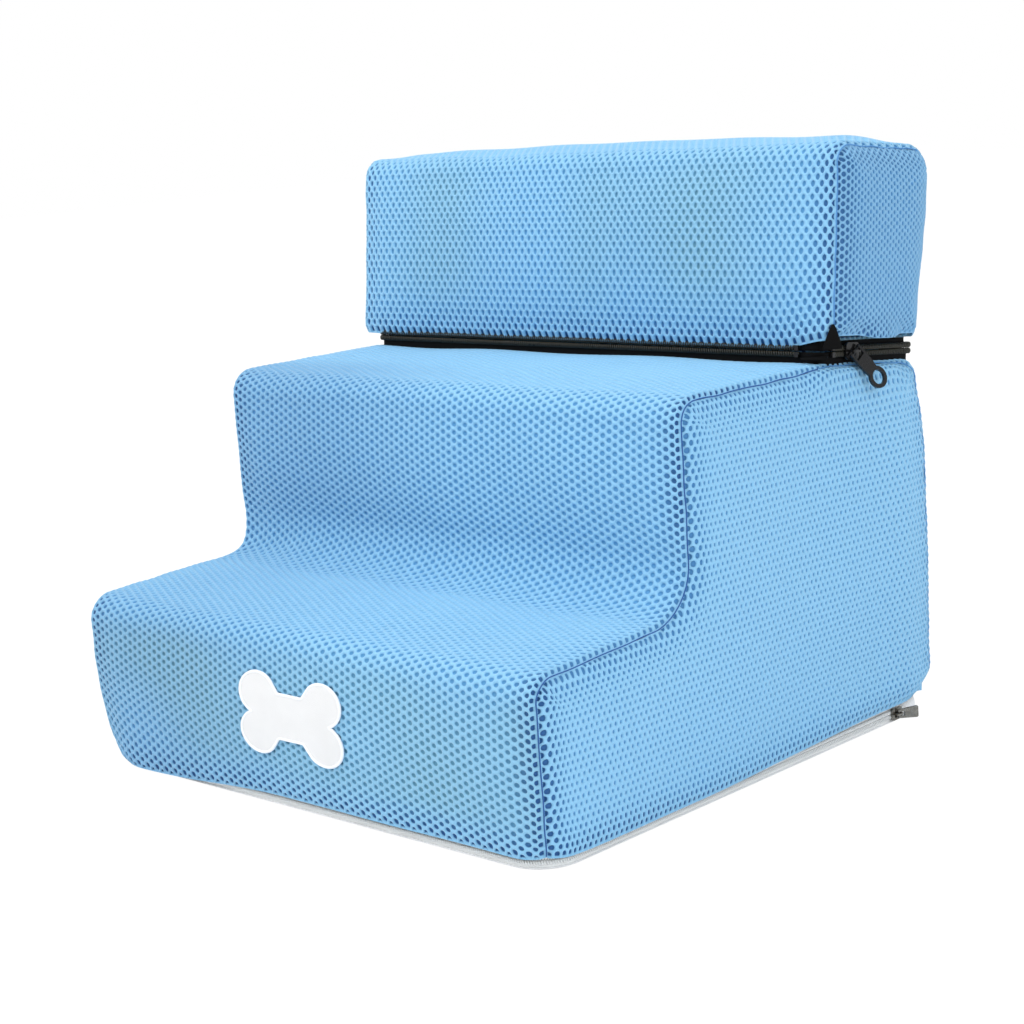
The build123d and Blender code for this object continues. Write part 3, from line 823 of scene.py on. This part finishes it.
def mesh_fabric():
    """The air mesh: pale ribs, deep blue pits, and the foam tint, hole darkness and painted shade that each
    panel carries as attributes.
    """
    look = Tree(bpy.data.materials.new("air_mesh_fabric"))
    carried = [{"attribute_name": name} for name in ("pit", "edge", "tint", "painted_shade")]
    pit, edge, tint, painted_shade = (look.put("ShaderNodeAttribute", which, "Fac") for which in carried)
    yarn = look.texture("Noise", 1900.0, Detail=3.0, Roughness=0.6)
    broad = look.texture("Noise", 18.0, Detail=2.0)
    rib = look.mixed(yarn, rgb(100, 165, 208), rgb(158, 212, 242))
    rib = look.mixed(broad, rib, rgb(129, 188, 226))
    rib = look.mixed(look.times(tint, 0.7), rib, rgb(126, 180, 207))
    deep = look.mixed(tint, rgb(84, 154, 205), rgb(88, 145, 168))
    deep = look.mixed(edge, deep, rgb(18, 82, 142))
    sunk = look.put("ShaderNodeMapRange", {"interpolation_type": "SMOOTHSTEP"}, Value=pit, i1=0.35, i2=0.85)
    colour = look.mixed(sunk, rib, deep)
    # Painted shade: the shade attribute darkens the colour towards a dull blue.
    colour = look.mixed(painted_shade, colour, (0.72, 0.76, 0.82, 1.0), blend_type="MULTIPLY")
    return look.principled(colour, 0.62, yarn, 0.5, 0.0002, Sheen_Weight=0.2)


def woven(name, dark, light, pitch, sheen=0.2, specular=0.5):
    """A plain weave of threads at the given pitch."""
    look = Tree(bpy.data.materials.new(name))
    across = look.texture("Wave", 0.314 / pitch, {"bands_direction": "Z"}, 1, Distortion=0.6, Detail=1.0)
    along = look.texture("Wave", 0.22 / pitch, {"bands_direction": "DIAGONAL"}, 1, Distortion=0.4)
    weave = look.times(across, along)
    grime = look.texture("Noise", 60.0, Detail=4.0)
    colour = look.mixed(grime, look.mixed(weave, dark, light), light)
    return look.principled(colour, 0.8, weave, 0.5, 0.0003, Sheen_Weight=sheen, Specular_IOR_Level=specular)


def moulded(name, dark, light, rough, scale, metallic=0.0, strength=0.15):
    """A fine-grained surface, for plastic, metal, thread and sponge."""
    look = Tree(bpy.data.materials.new(name))
    grain = look.texture("Noise", scale, Detail=5.0)
    wear = look.put("ShaderNodeMapRange", Value=grain, i1=0.35, i2=0.7, i3=rough * 0.75, i4=rough * 1.25)
    return look.principled(look.mixed(grain, dark, light), wear, grain, strength, 0.0001, Metallic=metallic)


fabric = mesh_fabric()
black_tape = woven("black_woven_tape", rgb(2, 2, 3), rgb(13, 13, 13), 0.0005, sheen=0.0, specular=0.12)
white_tape = woven("white_woven_tape", rgb(232, 236, 236), rgb(250, 251, 250), 0.0005)
base_cloth = woven("base_woven_cloth", rgb(228, 232, 234), rgb(248, 249, 250), 0.0007)
patch_cloth = woven("patch_woven_cloth", rgb(222, 222, 222), rgb(238, 238, 238), 0.0004)
black_coil = moulded("black_nylon_coil", rgb(14, 14, 11), rgb(58, 58, 47), 0.36, 900.0)
white_coil = moulded("white_nylon_coil", rgb(232, 236, 236), rgb(250, 251, 250), 0.4, 900.0)
black_metal = moulded("black_enamel", rgb(3, 3, 4), rgb(16, 16, 17), 0.26, 700.0)
nickel = moulded("nickel_plate", rgb(92, 88, 80), rgb(168, 164, 156), 0.26, 500.0, metallic=1.0)
thread = moulded("seam_thread", rgb(20, 66, 130), rgb(46, 104, 172), 0.7, 1500.0)
soft_thread = moulded("soft_seam_thread", rgb(62, 122, 184), rgb(96, 158, 214), 0.7, 1500.0)
white_thread = moulded("white_thread", rgb(232, 235, 242), rgb(250, 251, 253), 0.75, 1500.0)
sponge = moulded("foam_sponge", rgb(205, 212, 196), rgb(236, 238, 226), 0.9, 1100.0, strength=0.8)


def dress(piece, material):
    """Gives a piece one material."""
    piece.data.materials.clear()
    piece.data.materials.append(material)


def finish_piece(piece, material, body, slot, *nodes):
    """Gives a piece its material and body, and hides the CAD nodes that it replaces."""
    dress(piece, material)
    if nodes:
        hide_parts(*nodes)
    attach(piece, body)


for part, body, panels in (
    ("stair", "stair_body", {"wrap": stair_wrap, "back": stair_back, **stair_sides}),
    ("top", "top_step", {"wrap": top_wrap, "bottom": top_bottom, **top_sides}),
):
    for word, panel in panels.items():
        finish_piece(panel, fabric, body, "air_mesh", f"{part}_cover_{word}")


# ---- swept pieces ----
def swept(name, rings, closed=False, start_cap=True):
    """A mesh from rings of points, each joined to the next, and capped at its ends if they are open."""
    count, sides = rings.shape[:2]
    i = np.arange(count if closed else count - 1)[:, None]
    j = np.arange(sides)
    after, around = (i + 1) % count, (j + 1) % sides
    corners = [i * sides + j, i * sides + around, after * sides + around, after * sides + j]
    quads = np.stack(corners, -1).reshape(-1, 4)
    caps = [] if closed else [(count - 1) * sides + j]
    if start_cap and not closed:
        caps.insert(0, j[::-1])
    loops = np.concatenate([quads.ravel(), *caps])
    starts = np.concatenate([np.arange(len(quads)) * 4, len(quads) * 4 + np.arange(len(caps)) * sides])
    return fill_mesh(name, rings.reshape(-1, 3), loops, starts, {}, None)


def unit(vectors):
    """The same vectors with length 1."""
    vectors = np.array(vectors, float)
    return vectors / np.linalg.norm(vectors, axis=-1, keepdims=True)


def round_rings(line, first, second, radius, sides):
    """Rings round a line of points, each in the plane of two unit vectors."""
    angle = np.linspace(0, math.tau, sides, endpoint=False)[None, :, None]
    return line[:, None] + radius * (first[:, None] * np.cos(angle) + second[:, None] * np.sin(angle))


def tube(name, line, radius, sides, closed=False):
    """A round tube along a line of points."""
    if closed:
        along = unit(np.roll(line, -1, 0) - np.roll(line, 1, 0))
    else:
        along = unit(np.gradient(line, axis=0))
    up = np.zeros_like(line)
    guide = np.array([0.37, 0.21, 0.9])
    for k in range(len(line)):
        guide = unit(guide - along[k] * (guide @ along[k]))
        up[k] = guide
    return swept(name, round_rings(line, up, np.cross(along, up), radius, sides), closed)


tape_step = 0.0035
tape_hollow = 0.0002
coil_steps = 10


class Band:
    """The line round a rounded rectangle, for the zippers: outer face, with insets measured inwards."""

    def __init__(self, low, high, right_radius, left_radius, back_radius, place):
        turns = (
            (1, high - back_radius, 0, back_radius),
            (1, low + right_radius, -90, right_radius),
            (-1, low + left_radius, -180, left_radius),
            (-1, high - back_radius, -270, back_radius),
        )
        points, normals = [], []
        for side, centre, first, radius in turns:
            angle = np.radians(first + 90 - np.linspace(0, 90, 14))
            normals.append(np.stack([np.cos(angle), np.sin(angle)], -1))
            points.append(np.array([side * (half_width - radius), centre]) + radius * normals[-1])
        self.points, self.normals = (np.concatenate([*part, part[0][:1]]) for part in (points, normals))
        self.s = path_lengths(self.points)
        self.length = self.s[-1]
        self.place = place

    def at(self, s, inset, up):
        """Points at path length s, at an inset and a height."""
        x, v, nx, nv = read_line(np.asarray(s, float) % self.length, self.s, self.points, self.normals)
        return self.place(x - nx * inset, v - nv * inset, up + 0 * x)

    def where(self, x, v):
        """The path length nearest to a point."""
        fine = np.linspace(0, self.length, 8000)
        px, pv, _, _ = read_line(fine, self.s, self.points, self.normals)
        return fine[((px - x) ** 2 + (pv - v) ** 2).argmin()]

    def tape(self, name, insets, heights, start, end, seed, sag=0.0002):
        """A strip of tape from one height to another, its edges slightly uneven."""
        s = np.linspace(start, end, int((end - start) / tape_step))
        uneven = waves(seed, s, s * 0, 0.03, sag)
        rise = np.linspace(0, 1, 7)
        outside = [(t, insets[0] + tape_hollow * math.sin(math.pi * t)) for t in rise]
        inside = [(t, insets[1]) for t in rise[::-1]]
        rings = [
            self.at(s, inset + 0.25 * uneven, heights[0] + (heights[1] - heights[0]) * t + 0.3 * uneven)
            for t, inset in outside + inside
        ]
        return swept(name, np.stack(rings, 1))

    def coil(self, name, depth, height, rise, pitch, wire, start, end, flip):
        """A coil of round filament along the band, flattened to depth by rise."""
        turns = int((end - start) / pitch)
        angle = np.linspace(0, math.tau * turns, turns * coil_steps + 1)
        s = start + pitch * angle / math.tau
        across = depth / 2 - wire
        up = rise / 2 - wire
        line = self.at(s, depth / 2 - across * np.cos(angle), height + flip * up * np.sin(angle))
        out = unit(line - self.at(s, depth / 2, height))
        along = unit(np.gradient(line, axis=0))
        out = unit(out - along * (out * along).sum(1)[:, None])
        return swept(name, round_rings(line, out, np.cross(along, out), wire, 6))


def zip_row(kind, row, body, colour, tape_band, tape, coil_band, coil):
    """One half of a zipper: its tape and its coil, finished."""
    cloth, nylon = {"black": (black_tape, black_coil), "white": (white_tape, white_coil)}[colour]
    tape_piece = tape_band.tape(f"{kind}_{row}_tape_cloth", *tape)
    coil_piece = coil_band.coil(f"{kind}_{row}_coil_wire", *coil)
    finish_piece(tape_piece, cloth, body, f"{colour}_tape", f"{kind}_zip_{row}_tape")
    finish_piece(coil_piece, nylon, body, f"{colour}_coil", f"{kind}_zip_{row}_coil")


# ---- joining zipper ----
join_middle = join_band / 2
join_insets = (0.0021, 0.003)
join_half_gap = 0.0004
join_rise = 0.0031
join_back_draw = 0.0024
join_coil = (join_rise, 0.0015, 0.00042)
join_coil_depth = 0.0022
join_plan = (0.0, top_depth + 0.0035, plan_corner_radius, plan_corner_radius, 0.005)


def on_upper_join(x, v, u):
    """Points of the upper join tape, drawn in at the back with the foot of the top step."""
    return on_seat(x, v - join_back_draw * smooth((v - top_depth + 0.02) / 0.02), u)


join = Band(*join_plan, on_seat)
upper_join = Band(*join_plan, on_upper_join)
row_start = join.where(half_width - 0.014, 0.0)
row_end = join.where(half_width, 0.010) + join.length
low_heights = (-0.0042, join_middle - join_half_gap)
high_heights = (join_middle + join_half_gap, join_band + 0.0026)
zip_row(
    "join", "lower", "stair_body", "black",
    join, (join_insets, low_heights, 0.0, join.length, 71),
    join, (join_coil_depth, join_middle - join_rise / 2, *join_coil, row_start, row_end, 1),
)
zip_row(
    "join", "upper", "top_step", "black",
    upper_join, (join_insets, high_heights, 0.0, join.length, 72),
    join, (join_coil_depth, join_middle + join_rise / 2, *join_coil, row_start + 0.00075, row_end, -1),
)


leaf_fold = 0.0007
leaf_thickness = 0.0007


def leaf(name, body, root, along, across, out, length, widths, curl):
    """A cut end of black tape: a tapered tongue with a fold along it."""
    w = np.linspace(-1, 1, 7)
    rings = []
    for t in np.linspace(0, 1, 14):
        half = (widths[0] + (widths[1] - widths[0]) * t**1.3) / 2
        fold = leaf_fold * (1 - w * w) + curl * t * t
        line = root + along * length * t + np.outer(half * w, across) + np.outer(fold, out)
        rings.append(np.concatenate([line + leaf_thickness * out, line[::-1]]))
    finish_piece(swept(name, np.array(rings)), black_tape, body, "black_tape")


leaf(
    "join_lower_tape_end", "stair_body", np.array([half_width + 0.0012, seat_y + 0.0045, seat_z + 0.0022]),
    unit((-0.93, -0.60, -0.05)), unit((-0.5, 0.86, 0.0)), unit((0, 0.05, 1)), 0.0135, (0.006, 0.0015), 0.0002,
)
leaf(
    "join_upper_tape_end", "top_step", on_seat(top_half_width - 0.0006, -0.0006, join_band - 0.0042),
    seat_up, unit((0.75, 0.66, 0.0)), unit((0.66, -0.75, 0.0)), 0.0122, (0.0095, 0.0012), -0.0006,
)

# ---- base zipper ----
base_middle = base_thickness + base_band / 2
base_insets = (0.0015, 0.0024)
base_half_gap = 0.0003
base_sag = 0.0003
base_row_height = 0.0018
base_row_place = base_half_gap + base_row_height / 2
base_coil = (base_row_height + 0.0005, 0.0013, 0.00036)
base_coil_depth = 0.0016
base_zip_end = 0.018
base_coil_end = 0.002
base_set_back = 0.0012
base_foot_gap = 0.004
foot_radii = (right_foot_radius + base_foot_gap, left_foot_radius + base_foot_gap)
base_plan = (front_y, back_y, *foot_radii, plan_corner_radius)


def on_base(x, y, z):
    """Points of the base and its zipper, set back a little behind the hem on the front and the left."""
    x = x + base_set_back * smooth((-x - 0.12) / 0.03)
    y = y + base_set_back * smooth((front_y + 0.03 - y) / 0.03)
    return on_floor(x, y, z)


def on_upper_base(x, y, z):
    """Points of the upper base tape, which widens towards the back to meet the lifted hem."""
    rise = (back_rise(y) + 0.001) * np.clip((z - base_middle) / (hem - base_middle), 0, 1)
    return on_base(x, y, z + rise)


base = Band(*base_plan, on_base)
upper_base = Band(*base_plan, on_upper_base)
zip_start = base.where(half_width, back_y - base_zip_end)
zip_end = base.where(-half_width, back_y - base_zip_end)
low_heights = (base_thickness - 0.0008, base_middle - base_half_gap)
high_heights = (base_middle + base_half_gap, hem + 0.0009)
coil_start, coil_end = zip_start + base_coil_end, zip_end - base_coil_end
zip_row(
    "base", "lower", "stair_body", "white",
    base, (base_insets, low_heights, zip_start, zip_end, 81, base_sag),
    base, (base_coil_depth, base_middle - base_row_place, *base_coil, coil_start, coil_end, 1),
)
zip_row(
    "base", "upper", "stair_body", "white",
    upper_base, (base_insets, high_heights, zip_start, zip_end, 82, base_sag),
    base, (base_coil_depth, base_middle + base_row_place, *base_coil, coil_start + 0.00065, coil_end, -1),
)


def base_sheet(name):
    """The base panel: a flat cloth with a rim, as rings drawn in from the band's outline."""
    s = np.linspace(0, base.length, 480, endpoint=False)
    back = ((s > zip_end - 0.003) | (s < zip_start + 0.003)).astype(float)
    rim_top = base_thickness + back * (base_band + 0.0004)
    turns = ((0.0016, rim_top), (0.0007, rim_top * 0.55), (0.0009, 0.0006), (0.002, 0.0001))
    rim = [base.at(s, inset, height) for inset, height in turns]
    edge = base.at(s, 0.004, 0.0)
    under = np.stack([edge * (1 - t) for t in (0.0, 0.06, 0.15, 0.3, 0.5, 0.7, 0.9, 0.99)])
    under[..., 2] = 0.00012 + np.abs(waves(91, under[..., 0], under[..., 1], 0.05, 0.00012))
    made = swept(name, np.concatenate([rim, under]), start_cap=False)
    thick = made.modifiers.new("thickness", "SOLIDIFY")
    thick.thickness, thick.offset = 0.0006, -1
    return made


bottom_sheet = base_sheet("base_sheet_cloth")
finish_piece(bottom_sheet, base_cloth, "stair_body", "base_cloth", "base_panel")

# ---- seams ----
thread_radius = 0.00032
thread_step = 0.0009
thread_proud = 0.0003


def seam_threads(name, body, strip, half, first, last, seed, lift, material):
    """The threads along the two side seams of a strip, from one path length to another."""
    run = np.arange(first, last, thread_step)
    for side, word in ((1, "right"), (-1, "left")):
        line = strip(run, np.full(len(run), side * (half - 1e-5)))
        wander = waves(seed + side, run, 0 * run, 0.012, 0.0002)
        line = line + np.stack([0 * run + side * thread_proud, wander, wander * 0.5 + lift], -1)
        finish_piece(tube(name.format(word), line, thread_radius, 6), material, body, "air_mesh")


heel_gap = heel + 0.0045
stair_seam = ("stair_body", stair_strip, half_width)
seam_threads("stair_{}_seam_thread", *stair_seam, 0.0008, seat_start, 101, thread_proud, thread)
back_run = (seat_start + thread_step, stair_profile.length)
seam_threads("stair_{}_back_seam_thread", *stair_seam, *back_run, 101, thread_proud, soft_thread)
top_run = (heel_gap, top_profile.length - heel_gap)
seam_threads("top_{}_seam_thread", "top_step", top_strip, top_half_width, *top_run, 105, 0.0, soft_thread)

# ---- patch ----
patch_x = 0.0005
patch_z = 0.0495
patch_lobe_x = 0.024
patch_lobe_z = 0.0099
patch_lobe_half_width = 0.0142
patch_lobe_half_height = 0.0113
patch_waist = 0.024


def bone_line(inset, count=420):
    """The bone outline drawn in by inset, as points about its own middle."""
    angle = np.linspace(0, math.tau, count, endpoint=False)
    direction = np.stack([np.cos(angle), np.sin(angle)], -1)
    radius = np.zeros(count)
    steps = np.linspace(0.002, 0.045, 1400)
    for k, (c, s) in enumerate(direction):
        x, z = steps * c, steps * s
        body = (np.abs(x) < patch_lobe_x) & (np.abs(z) < patch_waist / 2 - inset)
        lobes = ((np.abs(x) - patch_lobe_x) / (patch_lobe_half_width - inset)) ** 2 + (
            (np.abs(z) - patch_lobe_z) / (patch_lobe_half_height - inset)
        ) ** 2 < 1
        hit = steps[body | lobes]
        radius[k] = hit.max()
    line = direction * radius[:, None]
    closed = np.concatenate([line, line[:1]])
    s = path_lengths(closed)
    even = np.linspace(0, s[-1], count, endpoint=False)
    line = np.stack([np.interp(even, s, column) for column in closed.T], -1)
    for _ in range(3):
        line = (np.roll(line, 1, 0) + 2 * line + np.roll(line, -1, 0)) / 4
    return line


def on_front(x, z, proud):
    """Points over the front face of the first step, proud of the mesh by the given height."""
    return stair_strip(np.clip(z - hem, 0, None), x) + np.array([0, -1, 0]) * np.asarray(proud)[..., None]


patch_height = 0.00125
# Each ring of the patch: its share of the outline, and how proud it stands
patch_rims = ((1.0, 0.0002), (1.0, 0.0009), (0.985, 0.0012))
patch_rings = patch_rims + tuple((t, patch_height) for t in (0.93, 0.8, 0.6, 0.4, 0.2, 0.05))
patch_x_line, patch_z_line = bone_line(0.0009).T
layers = []
for share, height in patch_rings:
    x, z = patch_x + patch_x_line * share, patch_z + patch_z_line * share
    layers.append(on_front(x, z, height + waves(111, x, z, 0.02, 0.00008)))
patch = swept("bone_patch_cloth", np.stack(layers), start_cap=False)
finish_piece(patch, patch_cloth, "stair_body", "white_patch", "bone_patch")
edge_line = on_front(patch_x + patch_x_line, patch_z + patch_z_line, np.full(len(patch_x_line), 0.0009))
edging = tube("bone_patch_stitching", edge_line, 0.0008, 8, closed=True)
finish_piece(edging, white_thread, "stair_body", "white_patch", "bone_patch_edging")

# ---- foam ----
sponge_inset = 0.0012


def sponge_piece(name, node, body, settle):
    """Foam made from a node's own form: remeshed, softened at its edges and eased like its cover."""
    piece = add_object(name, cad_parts[node].data.copy())
    remesh = piece.modifiers.new("remesh", "REMESH")
    remesh.mode, remesh.voxel_size = "VOXEL", 0.005
    soften = piece.modifiers.new("soften", "SMOOTH")
    soften.factor, soften.iterations = 0.7, 8
    taken = bpy.data.meshes.new_from_object(piece.evaluated_get(bpy.context.evaluated_depsgraph_get()))
    piece.modifiers.clear()
    piece.data = taken
    points = np.empty(len(taken.vertices) * 3, np.float32)
    normals = np.empty(len(taken.vertices) * 3, np.float32)
    taken.vertices.foreach_get("co", points)
    taken.vertices.foreach_get("normal", normals)
    points = settle(points.reshape(-1, 3) - sponge_inset * normals.reshape(-1, 3))
    points[:, 2] = np.maximum(points[:, 2], base_thickness)
    taken.vertices.foreach_set("co", points.astype(np.float32).ravel())
    taken.polygons.foreach_set("use_smooth", np.ones(len(taken.polygons), bool))
    finish_piece(piece, sponge, body, "foam", node)


def settle_stair(points):
    return soft_stair(*points.T)


def settle_top(points):
    away = points - seat_origin
    return soft_top(points[:, 0], away @ seat_back, away @ seat_up)


sponge_piece("lower_sponge", "lower_foam_slab", "stair_body", settle_stair)
sponge_piece("middle_sponge", "middle_foam_slab", "stair_body", settle_stair)
sponge_piece("top_sponge", "top_foam_block", "top_step", settle_top)

# ---- carried-over parts ----
for name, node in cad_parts.items():
    if node.hide_render:
        continue
    moving = "slider" in name or "pull" in name
    material = sponge
    if name.startswith("join_zip"):
        material = black_metal
    elif name.startswith("base_zip"):
        material = nickel if moving else white_coil
    dress(node, material)
    if moving:
        worn = node.modifiers.new("worn_edges", "BEVEL")
        worn.width, worn.segments = 0.00022, 2
        worn.limit_method, worn.angle_limit = "ANGLE", math.radians(38)

# ---- stage, light and camera ----
def studio_floor():
    """A wide white floor, brightened where the camera sees it."""
    reach, level = 6, -0.0002
    corners = [(x * reach, y * reach, level) for x, y in ((-1, -1), (1, -1), (1, 1), (-1, 1))]
    mesh = bpy.data.meshes.new("studio_floor")
    mesh.from_pydata(corners, [], [(0, 1, 2, 3)])
    look = Tree(bpy.data.materials.new("studio_white"))
    white = look.put("ShaderNodeBsdfDiffuse", Color=(0.95, 0.95, 0.95, 1))
    glow = look.put("ShaderNodeEmission", Color=(1, 1, 1, 1), Strength=1.06)
    share = look.times(look.put("ShaderNodeLightPath", pick="Is Camera Ray"), 0.93)
    look.put("ShaderNodeOutputMaterial", i0=look.put("ShaderNodeMixShader", i0=share, i1=white, i2=glow))
    mesh.materials.append(look.owner)
    add_object("studio_floor", mesh)


def studio_world():
    """A soft light from all round, and plain white where the camera sees it."""
    scene.world = bpy.data.worlds.new("studio")
    look = Tree(scene.world)
    soft = look.put("ShaderNodeBackground", Color=(0.95, 0.97, 1.0, 1), Strength=0.68)
    seen = look.put("ShaderNodeBackground", Color=(1, 1, 1, 1), Strength=1.0)
    camera_ray = look.put("ShaderNodeLightPath", pick="Is Camera Ray")
    look.put("ShaderNodeOutputWorld", i0=look.put("ShaderNodeMixShader", i0=camera_ray, i1=soft, i2=seen))


studio_floor()
studio_world()


def area_light(name, position, size, power, colour):
    """A square light that faces the lower half of the stairs."""
    data = bpy.data.lights.new(name, "AREA")
    data.shape = "RECTANGLE"
    data.size = data.size_y = size
    data.energy = power
    data.color = colour
    made = add_object(name, data)
    made.location = position
    made.rotation_mode = "QUATERNION"
    made.rotation_quaternion = (Vector((0, 0, 0.12)) - Vector(position)).to_track_quat("-Z", "Y")


area_light("key", (-0.7, -1.3, 1.6), 1.2, 18, (1, 0.99, 0.97))
area_light("fill", (1.7, -0.5, 0.9), 1.2, 11, (0.97, 0.98, 1))
area_light("over", (0.1, 0.1, 1.9), 1.4, 11, (1, 1, 1))

# The camera that fits the photograph: place, turns in degrees (yaw, pitch, roll), focal length in pixels
camera_place = (0.80232, -0.80413, 0.34417)
camera_turn = (-44.513, -11.036, -4.143)
focal_pixels = 2185.06
photo_pixels = 1024
sensor_width = 36.0

cam_data = bpy.data.cameras.new("camera")
cam = add_object("camera", cam_data)
scene.camera = cam
yaw, pitch, roll = (math.radians(a) for a in camera_turn)
forward = Vector((math.sin(yaw) * math.cos(pitch), math.cos(yaw) * math.cos(pitch), math.sin(pitch)))
level_right = Vector((math.cos(yaw), -math.sin(yaw), 0))
level_up = level_right.cross(forward)
cam_right = level_right * math.cos(roll) + level_up * math.sin(roll)
cam_up = level_up * math.cos(roll) - level_right * math.sin(roll)
axes = [(*axis, 0) for axis in (cam_right, cam_up, -forward)]
cam.matrix_world = Matrix([*axes, (*camera_place, 1)]).transposed()
cam_data.sensor_width = sensor_width
cam_data.lens = focal_pixels / photo_pixels * sensor_width
cam_data.clip_start, cam_data.clip_end = 0.01, 50.0

scene.view_settings.view_transform = "Standard"
